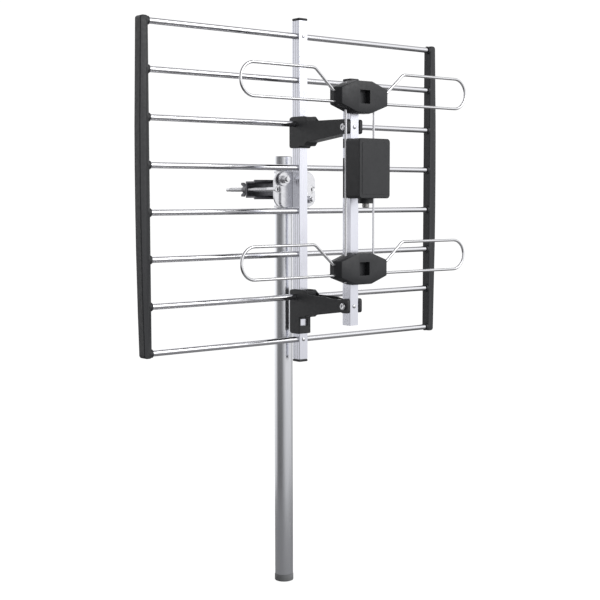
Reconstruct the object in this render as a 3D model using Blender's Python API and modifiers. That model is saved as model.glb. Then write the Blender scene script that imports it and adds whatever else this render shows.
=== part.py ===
"""Two-bay UHF grid antenna on a short mast, as separate pieces.

Frame: metres, +Z up, +X to the antenna's right, the dipoles face -Y.
The origin is the centre of the mast foot's underside, on the mast's axis.
"""
import math

import bmesh
import bpy
from mathutils import Matrix, Vector

# ---------------------------------------------------------------- driving dimensions
GAP = 0.0003                    # clearance between touching pieces

MAST_RADIUS = 0.0127
MAST_WALL = 0.0015
MAST_TOP = 0.5976
FOOT_CAP_HEIGHT = 0.009
FOOT_CAP_RADIUS = 0.0132

REFLECTOR_MID_Z = 0.552         # height of the reflector's middle, also of the clamp
BOOM_Y = -0.0365                # reflector boom's centre line, in front of the mast's axis
BOOM_SECTION = 0.015
BOOM_WALL = 0.0015
BOOM_TOP = 0.2252               # above the reflector's middle
BOOM_BOTTOM = -0.2320
BOOM_CORNER = 0.0006
CAP_HEIGHT = 0.0036
CAP_PLUG = 0.008

ROD_COUNT = 8
ROD_PITCH = 0.0585
ROD_RADIUS = 0.004
ROD_WALL = 0.0008
ROD_Y = BOOM_Y - 0.001
ROD_HALF_LENGTH = 0.2505
HOLE_CLEARANCE = 0.0003

STRIP_INNER = 0.2440            # X of the edge strips' inner faces
STRIP_MID_WIDTH = 0.0144
STRIP_END_WIDTH = 0.0110
STRIP_HALF_HEIGHT = 0.2105
STRIP_FRONT = ROD_Y - 0.0052
STRIP_BACK = ROD_Y + 0.0080
COLLAR_RADIUS = 0.0056
COLLAR_LENGTH = 0.0025

FRONT_BOOM_Y = BOOM_Y - 0.103
FRONT_BOOM_TOP = 0.1372
FRONT_BOOM_BOTTOM = -0.1773

ARM_HALF_WIDTH = 0.0103
FORK_HALF_WIDTH = 0.0125
CHEEK_Y = FRONT_BOOM_Y - 0.0016 # middle of the fork's cheeks, front to back
CHEEK_HALF_LENGTH = 0.0071
CHEEK_RISE = 0.0006             # of the cheeks' middle above the fork's rivet
CHEEK_ROUND = 0.0034
UPPER_ARM_ROD = 2               # counted from the top, from 0
LOWER_ARM_ROD = 6
UPPER_FORK_Z = 0.0793
LOWER_FORK_Z = -0.1523
FORK_HEIGHT = 0.0186

BAY_Z = {"upper": 0.1166, "lower": -0.1024}
INSULATOR_HALF_WIDTH = 0.0433   # of the base and of the cover's rim
INSULATOR_FACE_HALF = 0.0392    # the cover narrows to this at its front face
INSULATOR_SIDE_HALF = 0.0108
INSULATOR_HALF_HEIGHT = 0.0210
INSULATOR_FACE_HEIGHT = 0.0198  # half of the front face's height
INSULATOR_FLAT_HALF = 0.0140
INSULATOR_BACK = FRONT_BOOM_Y - 0.0078
INSULATOR_SPLIT = FRONT_BOOM_Y - 0.0175   # the wires are clamped between cover and base
INSULATOR_FRONT = FRONT_BOOM_Y - 0.0275
SOCKET_SIZE = 0.0172
SOCKET_DEPTH = 0.0085

LOOP_WIRE = 0.0019              # radius
LOOP_END_X = 0.1923
LOOP_TOP = 0.0327               # above the insulator's middle
LOOP_BOTTOM = -0.0073
LOOP_LEG_Z = 0.0062
LOOP_SHOULDER_X = 0.0760
LOOP_KNEE_X = 0.0450
LOOP_LEG_END_X = 0.0290
LOOP_Y = INSULATOR_SPLIT
LOOP_SWEEP = 0.018              # the loops lean forward by this much of their reach
LOOP_SWEEP_FROM = 0.036         # X where the loops cross the housing's split plane

PHASE_X = 0.0240
PHASE_Y = INSULATOR_SPLIT
PHASE_WIRE = 0.0014             # radius

BALUN_HALF_WIDTH = 0.0267
BALUN_BACK = FRONT_BOOM_Y - 0.0211
BALUN_FRONT = FRONT_BOOM_Y - 0.0460
BALUN_TOP = 0.0633
BALUN_BOTTOM = -0.0122
BALUN_CORNER = 0.0045
BALUN_WALL = 0.002
CONNECTOR_Y = FRONT_BOOM_Y - 0.0288
BOSS_RADIUS = 0.0099
BOSS_BOTTOM = -0.0186
CONNECTOR_BOTTOM = -0.0242
CONNECTOR_RADIUS = 0.0048

PLATE_THICKNESS = 0.0025
PLATE_HALF_WIDTH = 0.0266
PLATE_HALF_HEIGHT = 0.0245
PLATE_FRONT = BOOM_Y + 0.0078
SADDLE_HALF_WIDTH = 0.0363
SADDLE_FRONT = PLATE_FRONT + PLATE_THICKNESS + GAP
PLATE_BOLT_X = 0.0222
PLATE_BOLT_Z = 0.0136
M6_RADIUS = 0.003
M6_HOLE = 0.0033
M6_NUT_RADIUS = 0.0058
M6_NUT_HEIGHT = 0.0055
WASHER_RADIUS = 0.0092
WASHER_HEIGHT = 0.0016

CLAMP_BOLT_X = 0.0315
CLAMP_BOLT_END = BOOM_Y + 0.1246
CLAMP_THREAD_END = BOOM_Y + 0.1140
HOOK_THICKNESS = 0.0021         # the bolt's front end is hooked towards the middle
HOOK_REACH = 0.0085
HOOK_HALF_HEIGHT = 0.0025
VEE_HALF_ANGLE = math.radians(60)
JAW_HALF_WIDTH = 0.037
JAW_HALF_HEIGHT = 0.0134
JAW_BACK_HALF_HEIGHT = 0.0114
JAW_FRONT = BOOM_Y + 0.0460
JAW_SHOULDER = BOOM_Y + 0.0525  # front corner of the jaw's sides, and its step in height
JAW_BACK = BOOM_Y + 0.0735
SADDLE_LIP_BACK = BOOM_Y + 0.0285

ROUND_STEPS = 36
ROD_STEPS = 20
SMALL_STEPS = 16
WELD = 0.000001                 # a curve's loose caps are welded within this
FLAT_ANGLE = 0.0005             # the caps' triangles are merged into one face


def rod_z(index):
    """Height of a reflector rod above the reflector's middle."""
    return ((ROD_COUNT - 1) / 2 - index) * ROD_PITCH


# ---------------------------------------------------------------- scene and materials
for leftover in list(bpy.data.objects):
    bpy.data.objects.remove(leftover)

antenna = bpy.data.collections.new("grid_antenna")
cutters = bpy.data.collections.new("cutters")
bpy.context.scene.collection.children.link(antenna)
bpy.context.scene.collection.children.link(cutters)


def make_material(name, color, roughness, metallic):
    """A Principled material."""
    material = bpy.data.materials.new(name)
    material.use_nodes = True
    shader = material.node_tree.nodes["Principled BSDF"]
    shader.inputs["Base Color"].default_value = (*color, 1.0)
    shader.inputs["Roughness"].default_value = roughness
    shader.inputs["Metallic"].default_value = metallic
    material.diffuse_color = (*color, 1.0)
    return material


ALUMINIUM = make_material("extruded_aluminium", (0.80, 0.80, 0.84), 0.35, 1.0)
POLISHED = make_material("polished_aluminium", (0.86, 0.86, 0.88), 0.18, 1.0)
MAST_STEEL = make_material("galvanised_steel", (0.56, 0.58, 0.60), 0.42, 1.0)
ZINC_STEEL = make_material("zinc_plated_steel", (0.72, 0.73, 0.76), 0.30, 1.0)
DARK_STEEL = make_material("dark_steel", (0.10, 0.10, 0.11), 0.45, 0.8)
BLACK_PLASTIC = make_material("black_plastic", (0.055, 0.056, 0.060), 0.55, 0.0)
GREY_PLASTIC = make_material("grey_plastic", (0.30, 0.31, 0.32), 0.55, 0.0)
WHITE_PLASTIC = make_material("white_plastic", (0.85, 0.85, 0.82), 0.45, 0.0)
BOARD_GREEN = make_material("board_laminate", (0.05, 0.22, 0.10), 0.50, 0.0)
FERRITE = make_material("ferrite", (0.07, 0.07, 0.075), 0.65, 0.0)
BRASS = make_material("brass", (0.78, 0.62, 0.30), 0.28, 1.0)


# ---------------------------------------------------------------- pivots
def make_pivot(name, location, parent=None):
    """An empty on a joint's axis, which carries the pieces that move about it."""
    pivot = bpy.data.objects.new(name, None)
    pivot.location = location
    pivot.parent = parent
    pivot.empty_display_size = 0.02
    antenna.objects.link(pivot)
    return pivot


AZIMUTH = make_pivot("azimuth_pivot", (0, 0, REFLECTOR_MID_Z))
JAW_SLIDE = make_pivot("jaw_slide", (0, 0, 0), AZIMUTH)


# ---------------------------------------------------------------- modelling helpers
def place(name, mesh, material, parent, location=(0, 0, 0), rotation=(0, 0, 0)):
    """Put a mesh into the scene; with no material it is a cutter."""
    obj = bpy.data.objects.new(name, mesh)
    obj.location = location
    obj.rotation_euler = rotation
    obj.parent = parent
    if material is None:
        cutters.objects.link(obj)
        obj.hide_render = True
        obj.display_type = "WIRE"
    else:
        antenna.objects.link(obj)
        mesh.materials.append(material)
    return obj


def box_mesh(name, low, high):
    """A box between two corners."""
    low, high = Vector(low), Vector(high)
    work = bmesh.new()
    bmesh.ops.create_cube(work, size=1.0)
    bmesh.ops.scale(work, vec=high - low, verts=work.verts)
    bmesh.ops.translate(work, vec=(low + high) / 2, verts=work.verts)
    mesh = bpy.data.meshes.new(name)
    work.to_mesh(mesh)
    work.free()
    return mesh


AXIS_TURN = {
    "X": Matrix.Rotation(math.radians(90), 4, "Y"),
    "Y": Matrix.Rotation(math.radians(-90), 4, "X"),
    "Z": Matrix.Identity(4),
}


def cylinder_mesh(name, radius, start, end, centre, axis, steps=SMALL_STEPS, top_radius=None):
    """A cylinder or cone along an axis, from start to end, about a centre in the other two."""
    work = bmesh.new()
    bmesh.ops.create_cone(work, cap_ends=True, segments=steps, radius1=radius,
                          radius2=radius if top_radius is None else top_radius,
                          depth=end - start)
    bmesh.ops.translate(work, vec=(0, 0, (start + end) / 2), verts=work.verts)
    bmesh.ops.transform(work, matrix=AXIS_TURN[axis], verts=work.verts)
    shift = {"X": (0, *centre), "Y": (centre[0], 0, centre[1]), "Z": (*centre, 0)}[axis]
    bmesh.ops.translate(work, vec=shift, verts=work.verts)
    mesh = bpy.data.meshes.new(name)
    work.to_mesh(mesh)
    work.free()
    smooth(mesh)
    return mesh


def smooth(mesh, angle=35):
    """Smooth shading with the hard edges kept."""
    mesh.shade_smooth()
    mesh.set_sharp_from_angle(angle=math.radians(angle))


def turned_piece(name, profile, material, parent, location, rotation=(0, 0, 0),
                 steps=ROUND_STEPS):
    """A turned piece: the profile, (radius, height), runs down the outer side, about Z.

    A profile that starts away from the axis is a ring's, and is closed.
    """
    mesh = bpy.data.meshes.new(name)
    points = [(radius, 0.0, height) for radius, height in profile]
    edges = [(i, i + 1) for i in range(len(points) - 1)]
    if profile[0][0] > 0:
        edges.append((len(points) - 1, 0))
    mesh.from_pydata(points, edges, [])
    obj = place(name, mesh, material, parent, location, rotation)
    screw = obj.modifiers.new("turn", "SCREW")
    screw.angle = math.tau
    screw.steps = steps
    screw.render_steps = steps
    screw.use_merge_vertices = True
    screw.merge_threshold = 0.00001
    screw.use_smooth_shade = True
    return obj


def outline_mesh(name, points, low, high, axis):
    """A flat outline, extruded along an axis from low to high.

    The outline's two coordinates are the other two axes in X, Y, Z order.
    """
    curve = bpy.data.curves.new(name, "CURVE")
    curve.dimensions = "2D"
    curve.fill_mode = "BOTH"
    curve.extrude = (high - low) / 2
    spline = curve.splines.new("POLY")
    spline.points.add(len(points) - 1)
    for target, point in zip(spline.points, points):
        target.co = (point[0], point[1], 0, 1)
    spline.use_cyclic_u = True
    guide = bpy.data.objects.new(name, curve)
    cutters.objects.link(guide)
    graph = bpy.context.evaluated_depsgraph_get()
    mesh = bpy.data.meshes.new_from_object(guide.evaluated_get(graph))
    bpy.data.objects.remove(guide)
    middle = (low + high) / 2
    spread = {
        "X": Matrix(((0, 0, 1, middle), (1, 0, 0, 0), (0, 1, 0, 0), (0, 0, 0, 1))),
        "Y": Matrix(((1, 0, 0, 0), (0, 0, 1, middle), (0, 1, 0, 0), (0, 0, 0, 1))),
        "Z": Matrix(((1, 0, 0, 0), (0, 1, 0, 0), (0, 0, 1, middle), (0, 0, 0, 1))),
    }[axis]
    work = bmesh.new()
    work.from_mesh(mesh)
    bmesh.ops.remove_doubles(work, verts=work.verts, dist=WELD)
    bmesh.ops.dissolve_limit(work, angle_limit=FLAT_ANGLE, verts=work.verts, edges=work.edges)
    bmesh.ops.transform(work, matrix=spread, verts=work.verts)
    bmesh.ops.recalc_face_normals(work, faces=work.faces)
    work.to_mesh(mesh)
    work.free()
    return mesh


def wire_object(name, points, radius, material, parent, location=(0, 0, 0), rotation=(0, 0, 0)):
    """A round wire along a chain of points, with filled ends."""
    curve = bpy.data.curves.new(name, "CURVE")
    curve.dimensions = "3D"
    curve.bevel_depth = radius
    curve.bevel_resolution = 2
    curve.use_fill_caps = True
    spline = curve.splines.new("POLY")
    spline.points.add(len(points) - 1)
    for target, point in zip(spline.points, points):
        target.co = (*point, 1)
    spline.use_smooth = True
    obj = bpy.data.objects.new(name, curve)
    obj.location = location
    obj.rotation_euler = rotation
    obj.parent = parent
    curve.materials.append(material)
    antenna.objects.link(obj)
    return obj


def combine(obj, tool_mesh, operation):
    """Cut a shape from a piece, or join one to it; the tool shares the piece's place."""
    tool = place(obj.name + "_tool", tool_mesh, None, obj.parent, obj.location, obj.rotation_euler)
    step = obj.modifiers.new(operation.lower(), "BOOLEAN")
    step.operation = operation
    step.object = tool
    return obj


def cut(obj, tool_mesh):
    """Cut a shape out of a piece."""
    return combine(obj, tool_mesh, "DIFFERENCE")


def join(obj, tool_mesh):
    """Join a shape to a piece."""
    return combine(obj, tool_mesh, "UNION")


def bevel(obj, width, segments=2, angle=40):
    """Round the hard edges of a piece."""
    step = obj.modifiers.new("bevel", "BEVEL")
    step.width = width
    step.segments = segments
    step.limit_method = "ANGLE"
    step.angle_limit = math.radians(angle)
    step.harden_normals = False
    return obj


def arc_points(centre, radius, start_deg, end_deg, steps):
    """Points along an arc, ends included."""
    result = []
    for step in range(steps + 1):
        angle = math.radians(start_deg + (end_deg - start_deg) * step / steps)
        result.append((centre[0] + radius * math.cos(angle), centre[1] + radius * math.sin(angle)))
    return result


def rounded_rectangle(half_width, half_height, radius, steps=5):
    """Corner-rounded rectangle about the origin, anticlockwise."""
    points = []
    for side_x, side_z, start in ((1, 1, 0), (-1, 1, 90), (-1, -1, 180), (1, -1, 270)):
        centre = (side_x * (half_width - radius), side_z * (half_height - radius))
        points += arc_points(centre, radius, start, start + 90, steps)
    return points


def fillet(points, radius, steps=5):
    """Round each inner corner of an open chain of 2D points."""
    result = [points[0]]
    for before, corner, after in zip(points, points[1:], points[2:]):
        corner = Vector(corner)
        back = (Vector(before) - corner).normalized()
        ahead = (Vector(after) - corner).normalized()
        half_turn = back.angle(ahead) / 2
        reach = radius / math.tan(half_turn)
        middle = corner + (back + ahead).normalized() * (radius / math.sin(half_turn))
        first = corner + back * reach - middle
        last = corner + ahead * reach - middle
        sweep = first.angle_signed(last)
        for step in range(steps + 1):
            spoke = first.copy()
            spoke.rotate(Matrix.Rotation(-sweep * step / steps, 2))
            result.append(tuple(middle + spoke))
    result.append(points[-1])
    return result


# ---------------------------------------------------------------- mast
def build_mast():
    """The mast tube, its top plug and its foot cap."""
    low = FOOT_CAP_HEIGHT + GAP
    high = MAST_TOP - 0.0005
    inner = MAST_RADIUS - MAST_WALL
    turned_piece(
        "mast_pole",
        [(inner, high), (MAST_RADIUS, high), (MAST_RADIUS, low), (inner, low)],
        MAST_STEEL, None, (0, 0, 0))
    lid = MAST_TOP
    plug_radius = inner - GAP
    plug_bottom = MAST_TOP - 0.012
    turned_piece(
        "mast_top_cap",
        [(0, lid), (plug_radius - 0.001, lid), (plug_radius, lid - 0.001),
         (plug_radius, plug_bottom), (0, plug_bottom)],
        GREY_PLASTIC, None, (0, 0, 0))
    plug_top = FOOT_CAP_HEIGHT + 0.012
    edge = 0.0008
    turned_piece(
        "mast_foot_cap",
        [(0, plug_top), (plug_radius - edge, plug_top), (plug_radius, plug_top - edge),
         (plug_radius, FOOT_CAP_HEIGHT), (FOOT_CAP_RADIUS - edge, FOOT_CAP_HEIGHT),
         (FOOT_CAP_RADIUS, FOOT_CAP_HEIGHT - edge), (FOOT_CAP_RADIUS, edge),
         (FOOT_CAP_RADIUS - edge, 0), (0, 0)],
        GREY_PLASTIC, None, (0, 0, 0))


# ---------------------------------------------------------------- booms
def boom_outline(centre_y):
    """Square boom section with its corners broken."""
    half = BOOM_SECTION / 2
    near = half - BOOM_CORNER
    corners = [(half, -near), (half, near), (near, half), (-near, half),
               (-half, near), (-half, -near), (-near, -half), (near, -half)]
    return [(x, centre_y + y) for x, y in corners]


def build_boom(name, centre_y, bottom, top):
    """A square tube standing on end."""
    mesh = outline_mesh(name, boom_outline(centre_y), bottom, top, "Z")
    boom = place(name, mesh, ALUMINIUM, AZIMUTH)
    inner = BOOM_SECTION / 2 - BOOM_WALL
    spill = 0.002
    bore = box_mesh("bore", (-inner, centre_y - inner, bottom - spill),
                    (inner, centre_y + inner, top + spill))
    return cut(boom, bore)


def build_boom_cap(name, centre_y, end, direction):
    """Black cap on a boom's end: a domed lid and the plug inside the tube."""
    half = BOOM_SECTION / 2 + 0.0002
    near = end + direction * GAP
    far = end + direction * CAP_HEIGHT
    lid = box_mesh(name, (-half, centre_y - half, min(near, far)),
                   (half, centre_y + half, max(near, far)))
    cap = place(name, lid, BLACK_PLASTIC, AZIMUTH)
    bevel(cap, 0.0013, 2)
    plug_half = BOOM_SECTION / 2 - BOOM_WALL - GAP
    root = end + direction * 0.0015
    tip = end - direction * CAP_PLUG
    plug = box_mesh("plug", (-plug_half, centre_y - plug_half, min(root, tip)),
                    (plug_half, centre_y + plug_half, max(root, tip)))
    return join(cap, plug)


def build_rivet(name, front_y, height, head_radius=0.0027, shank_end=0.0032):
    """Blind rivet in a boom's front wall: a domed head, and a shank that points back."""
    head = 0.0011
    shank = 0.0016
    profile = [(0, head), (head_radius * 0.55, head * 0.85), (head_radius * 0.9, head * 0.45),
               (head_radius, 0), (shank, 0), (shank, -shank_end), (0, -shank_end)]
    return turned_piece(name, profile, ZINC_STEEL, AZIMUTH, (0, front_y - GAP, height),
                        (math.radians(90), 0, 0), steps=SMALL_STEPS)


# ---------------------------------------------------------------- reflector
def build_reflector():
    """Boom, rods, edge strips and the rivets that lock the outermost rods."""
    boom = build_boom("reflector_boom", BOOM_Y, BOOM_BOTTOM, BOOM_TOP)
    build_boom_cap("boom_top_cap", BOOM_Y, BOOM_TOP, 1)
    build_boom_cap("boom_bottom_cap", BOOM_Y, BOOM_BOTTOM, -1)
    hole = ROD_RADIUS + HOLE_CLEARANCE
    reach = 0.012
    front = BOOM_Y - BOOM_SECTION / 2
    rivet_hole = 0.0019
    for index in range(ROD_COUNT):
        height = rod_z(index)
        cut(boom, cylinder_mesh("rod_hole", hole, -reach, reach, (ROD_Y, height), "X"))
        inner = ROD_RADIUS - ROD_WALL
        rod = turned_piece(
            f"reflector_rod_{index + 1}",
            [(inner, ROD_HALF_LENGTH), (ROD_RADIUS, ROD_HALF_LENGTH),
             (ROD_RADIUS, -ROD_HALF_LENGTH), (inner, -ROD_HALF_LENGTH)],
            POLISHED, AZIMUTH, (0, ROD_Y, height), (0, math.radians(90), 0), steps=ROD_STEPS)
        if index in (0, ROD_COUNT - 1):
            end = "upper" if index == 0 else "lower"
            through = cylinder_mesh("rivet_hole", rivet_hole, front - 0.001, ROD_Y - 0.001,
                                    (0, height), "Y")
            cut(boom, through)
            cut(rod, cylinder_mesh("rivet_hole", rivet_hole, -0.006, -0.001, (0, 0), "Y"))
            build_rivet(f"boom_rivet_{end}", front, height)
    for side in (-1, 1):
        build_strip(side)
    return boom


def build_strip(side):
    """Bowed plastic strip that holds the rods' ends."""
    name = "left_edge_strip" if side < 0 else "right_edge_strip"
    rise = STRIP_MID_WIDTH - STRIP_END_WIDTH
    bow_radius = (STRIP_HALF_HEIGHT ** 2 + rise ** 2) / (2 * rise)
    centre_x = STRIP_INNER + STRIP_MID_WIDTH - bow_radius
    half_angle = math.degrees(math.asin((STRIP_HALF_HEIGHT - 0.006) / bow_radius))
    bow = arc_points((centre_x, 0), bow_radius, -half_angle, half_angle, 16)
    end_round = 0.004
    inner_round = 0.0025
    top = STRIP_HALF_HEIGHT
    crown = arc_points((bow[-1][0] - end_round, top - end_round), end_round, 0, 90, 4)
    shoulder = arc_points((STRIP_INNER + inner_round, top - inner_round), inner_round, 90, 180, 3)
    upper = crown + shoulder
    lower = [(x, -z) for x, z in reversed(upper)]
    outline = [(side * x, z) for x, z in bow + upper + lower]
    mesh = outline_mesh(name, outline, STRIP_FRONT, STRIP_BACK, "Y")
    strip = place(name, mesh, BLACK_PLASTIC, AZIMUTH)
    bevel(strip, 0.001, 1, angle=60)
    for index in range(ROD_COUNT):
        height = rod_z(index)
        start, end = sorted((side * (STRIP_INNER - COLLAR_LENGTH), side * (STRIP_INNER + 0.003)))
        join(strip, cylinder_mesh("collar", COLLAR_RADIUS, start, end, (ROD_Y, height), "X"))
    for index in range(ROD_COUNT):
        start, end = sorted((side * (STRIP_INNER - 0.006), side * (ROD_HALF_LENGTH + 0.0006)))
        socket = ROD_RADIUS + HOLE_CLEARANCE
        cut(strip, cylinder_mesh("socket", socket, start, end, (ROD_Y, rod_z(index)), "X"))
    return strip


# ---------------------------------------------------------------- arms and front boom
def arm_outline(rod, fork_top, fork_bottom, top, bottom, shelf, chin, sleeve):
    """Side outline of an arm, (y, z): sleeve and root block, tapering beam, end inside the fork.

    Heights are from the rod, but the fork's are from the reflector's middle.
    """
    half = ARM_HALF_WIDTH
    lower_root = -sleeve + 0.0008
    points = [
        (half, top - 0.0040), (half - 0.0008, top - 0.0018), (half - 0.0035, top - 0.0004),
        (half - 0.0070, top), (-0.0210, top), (-0.0226, top - 0.0008),
        (-0.0295, shelf[0]), (-0.0655, shelf[1]), (-0.0750, shelf[2]),
    ]
    points += [
        (-0.0252, chin), (-0.0222, bottom + 0.0012), (-0.0208, bottom), (-half - 0.0012, bottom),
        (-half, bottom - 0.0006), (-half, lower_root), (-half + 0.0020, -sleeve),
        (half - 0.0040, -sleeve), (half - 0.0010, lower_root), (half, lower_root + 0.0020),
    ]
    outline = [(BOOM_Y + y, rod + z) for y, z in points]
    outline[9:9] = [(CHEEK_Y, fork_top), (CHEEK_Y, fork_bottom)]
    return outline


def build_arm(name, rod_index, fork_z, root, shelf, fork, sleeve, windowed):
    """Plastic arm: a sleeve on the reflector boom, keyed on a rod, and a fork at the front.

    Heights from the rod: root is the root block's top, bottom and chin, shelf is the beam's
    top at three places, fork is the beam's top and bottom where it enters the fork.
    """
    rod = rod_z(rod_index)
    top, bottom, chin = root
    outline = arm_outline(rod, rod + fork[0], rod + fork[1], top, bottom, shelf, chin, sleeve)
    mesh = outline_mesh(name, outline, -ARM_HALF_WIDTH, ARM_HALF_WIDTH, "X")
    arm = place(name, mesh, BLACK_PLASTIC, AZIMUTH)
    bevel(arm, 0.0005, 1, angle=50)
    cheek = [(CHEEK_Y + y, fork_z + CHEEK_RISE + z)
             for y, z in rounded_rectangle(CHEEK_HALF_LENGTH, FORK_HEIGHT / 2, CHEEK_ROUND, 4)]
    join(arm, outline_mesh("cheek", cheek, -FORK_HALF_WIDTH, FORK_HALF_WIDTH, "X"))
    pocket = BOOM_SECTION / 2 + GAP
    spill = 0.08
    cut(arm, box_mesh("boom_bore", (-pocket, BOOM_Y - pocket, rod - spill),
                      (pocket, BOOM_Y + pocket, rod + spill)))
    cut(arm, box_mesh("fork_slot", (-pocket, CHEEK_Y - 0.02, fork_z - spill),
                      (pocket, FRONT_BOOM_Y + pocket, fork_z + spill)))
    hollow = ARM_HALF_WIDTH - 0.0022
    for start, end, floor in ((-0.0225, -0.0125, bottom + 0.0040), (-0.0860, -0.0255, -0.0115)):
        cut(arm, box_mesh("pocket", (-hollow, BOOM_Y + start, rod + floor),
                          (hollow, BOOM_Y + end, rod + spill)))
    across = FORK_HALF_WIDTH + 0.002
    cut(arm, cylinder_mesh("rod_hole", ROD_RADIUS + HOLE_CLEARANCE, -across, across,
                           (ROD_Y, rod), "X"))
    cut(arm, cylinder_mesh("rivet_hole", M6_HOLE, -across, across, (FRONT_BOOM_Y, fork_z), "X"))
    if windowed:
        sill = rod - sleeve + 0.0110
        cut(arm, box_mesh("window", (-0.0076, BOOM_Y - 0.012, sill),
                          (0.0053, BOOM_Y - 0.0070, sill + 0.0093)))
    return arm


def build_fork_rivet(name, height):
    """Hollow-ended rivet across a fork, with a formed head at each side."""
    head_radius = 0.0048
    head = 0.0022
    dimple = 0.0016
    shank = 0.0029
    outer = FORK_HALF_WIDTH + GAP
    far = outer + head
    profile = [
        (0, far - 0.001), (dimple, far - 0.0004), (dimple + 0.0006, far),
        (head_radius - 0.001, far), (head_radius, far - 0.0012), (head_radius, outer),
        (shank, outer), (shank, -outer), (head_radius, -outer), (head_radius, -far + 0.0012),
        (head_radius - 0.001, -far), (dimple + 0.0006, -far), (dimple, -far + 0.0004),
        (0, -far + 0.001),
    ]
    return turned_piece(name, profile, ZINC_STEEL, AZIMUTH, (0, FRONT_BOOM_Y, height),
                        (0, math.radians(90), 0), steps=SMALL_STEPS)


def build_front_frame():
    """Both arms, the front boom and what fastens them."""
    build_arm("upper_arm", UPPER_ARM_ROD, UPPER_FORK_Z, (0.0098, -0.0298, -0.0252),
              (0.0026, 0.0024, 0.0022), (0.0018, -0.0159), 0.0322, False)
    build_arm("lower_arm", LOWER_ARM_ROD, LOWER_FORK_Z, (0.0104, -0.0268, -0.0241),
              (0.0041, 0.0039, 0.0022), (0.0020, -0.0129), 0.0504, True)
    boom = build_boom("front_boom", FRONT_BOOM_Y, FRONT_BOOM_BOTTOM, FRONT_BOOM_TOP)
    build_boom_cap("front_boom_cap", FRONT_BOOM_Y, FRONT_BOOM_TOP, 1)
    front = FRONT_BOOM_Y - BOOM_SECTION / 2
    for end, height in (("upper", UPPER_FORK_Z), ("lower", LOWER_FORK_Z)):
        across = 0.012
        cut(boom, cylinder_mesh("bolt_hole", M6_HOLE, -across, across,
                                (FRONT_BOOM_Y, height), "X"))
        cut(boom, cylinder_mesh("rivet_hole", 0.0019, front - 0.001, front + 0.003,
                                (0, height), "Y"))
        build_rivet(f"front_rivet_{end}", front, height, shank_end=0.0028)
        build_fork_rivet(f"{end}_fork_rivet", height)
    return boom


# ---------------------------------------------------------------- insulators and loops
def octagon(height, inset=0.0):
    """Outline of an insulator housing, (x, z)."""
    wide = INSULATOR_HALF_WIDTH - inset
    side = INSULATOR_SIDE_HALF - inset * 0.5
    tall = INSULATOR_HALF_HEIGHT - inset
    flat = INSULATOR_FLAT_HALF - inset * 0.3
    corners = [(wide, side), (flat, tall), (-flat, tall), (-wide, side),
               (-wide, -side), (-flat, -tall), (flat, -tall), (wide, -side)]
    return [(x, height + z) for x, z in corners]


def build_insulator(bay):
    """Front cover and base of one insulator housing, clipped on the front boom."""
    height = BAY_Z[bay]
    cover_mesh = outline_mesh(f"{bay}_insulator_cover", octagon(height),
                              INSULATOR_FRONT, INSULATOR_SPLIT - GAP / 2, "Y")
    for vertex in cover_mesh.vertices:
        if vertex.co.y < INSULATOR_SPLIT - GAP:
            vertex.co.x *= INSULATOR_FACE_HALF / INSULATOR_HALF_WIDTH
            taper = INSULATOR_FACE_HEIGHT / INSULATOR_HALF_HEIGHT
            vertex.co.z = height + (vertex.co.z - height) * taper
    cover = place(f"{bay}_insulator_cover", cover_mesh, BLACK_PLASTIC, AZIMUTH)
    bevel(cover, 0.0009, 2, angle=50)
    half = SOCKET_SIZE / 2
    cut(cover, box_mesh("socket", (-half, INSULATOR_FRONT - 0.01, height - half),
                        (half, INSULATOR_FRONT + SOCKET_DEPTH, height + half)))
    base_mesh = outline_mesh(f"{bay}_insulator_base", octagon(height, 0.0003),
                             INSULATOR_SPLIT + GAP / 2, INSULATOR_BACK, "Y")
    base = place(f"{bay}_insulator_base", base_mesh, BLACK_PLASTIC, AZIMUTH)
    bevel(base, 0.0010, 1, angle=60)
    grip = BOOM_SECTION / 2 + GAP
    finger = grip + 0.0022
    finger_half = 0.0100
    for side in (-1, 1):
        start, end = sorted((side * grip, side * finger))
        join(base, box_mesh("finger", (start, INSULATOR_BACK - 0.001, height - finger_half),
                            (end, FRONT_BOOM_Y + 0.0040, height + finger_half)))
    for side in (-1, 1):
        inner, outer = sorted((side * 0.0175, side * 0.0310))
        for piece in (cover, base):
            cut(piece, box_mesh("chamber", (inner, INSULATOR_SPLIT - 0.0055, height - 0.0110),
                                (outer, INSULATOR_SPLIT + 0.0055, height + 0.0110)))
        for piece in (cover, base):
            cut(piece, cylinder_mesh("line_hole", PHASE_WIRE + GAP, height - 0.03, height + 0.03,
                                     (side * PHASE_X, PHASE_Y), "Z"))
        for leg in (LOOP_LEG_Z, LOOP_BOTTOM):
            start, end = sorted((side * 0.0250, side * 0.0480))
            for piece in (cover, base):
                groove = cylinder_mesh("groove", LOOP_WIRE + GAP, start, end,
                                       (LOOP_Y, height + leg), "X")
                cut(piece, groove)
    return cover


def loop_outline():
    """One loop's wire in its own plane, (x, z): lower leg, round end, upper wire, slanted leg."""
    radius = (LOOP_TOP - LOOP_BOTTOM) / 2
    middle = (LOOP_END_X - radius, (LOOP_TOP + LOOP_BOTTOM) / 2)
    corner_radius = 0.010
    lower = [(LOOP_LEG_END_X, LOOP_BOTTOM)]
    end = arc_points(middle, radius, -90, 90, 14)
    upper = fillet([end[-1], (LOOP_SHOULDER_X, LOOP_TOP), (LOOP_KNEE_X, LOOP_LEG_Z),
                    (LOOP_LEG_END_X, LOOP_LEG_Z)], corner_radius, 4)
    return lower + end + upper[1:]


def build_loops(bay):
    """The two wire loops of one bay."""
    height = BAY_Z[bay]
    for side, word in ((-1, "left"), (1, "right")):
        points = [(side * x, LOOP_Y - LOOP_SWEEP * (x - LOOP_SWEEP_FROM), height + z)
                  for x, z in loop_outline()]
        wire_object(f"{bay}_{word}_loop", points, LOOP_WIRE, POLISHED, AZIMUTH)


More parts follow.
